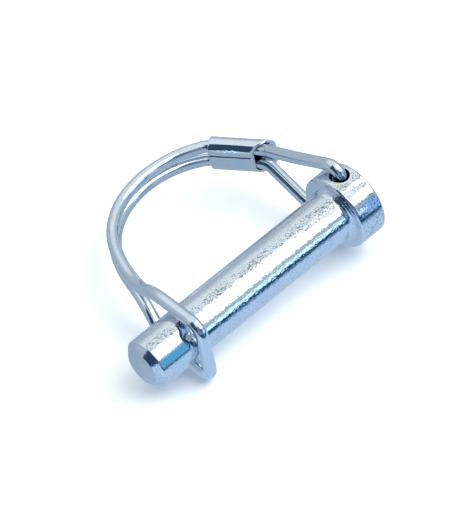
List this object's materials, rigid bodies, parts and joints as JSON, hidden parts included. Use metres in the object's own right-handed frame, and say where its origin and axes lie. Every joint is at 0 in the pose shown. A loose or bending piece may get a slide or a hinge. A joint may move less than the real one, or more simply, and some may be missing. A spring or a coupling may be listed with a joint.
{
  "type": "hitch pin lock",
  "caption": "Headed steel lock pin with a sprung wire ring hooked into a cross hole in its head; the ring's end loop snaps round the shank to keep the pin in a hitch.",
  "frame": {"origin": "on the pin's axis, in the plane of the head's bearing face", "axes": "+X along the pin from its tip to its head, +Y from the pin out to the bow of the ring, +Z square to the ring's plane, along the cross hole in the head"},
  "size_m": [0.0545, 0.0444, 0.0204],
  "materials": {
    "pin_zinc": "bright blue-white zinc plating on turned steel",
    "wire_zinc": "bright zinc plating on drawn spring wire",
    "sleeve_zinc": "bright zinc plating on pressed sheet"
  },
  "bodies": {
    "pin": {"lock_pin": "pin_zinc"},
    "ring": {"ring_wire": "wire_zinc", "crimp_sleeve": "sleeve_zinc"}
  },
  "joints": [
    {"name": "ring_swing", "type": "hinge", "parent": "pin", "child": "ring", "pos_m": [0.003, 0, 0], "axis": [0, 0, 1], "range_deg": [-245, 0], "deforming": ["ring_wire"]}
  ]
}
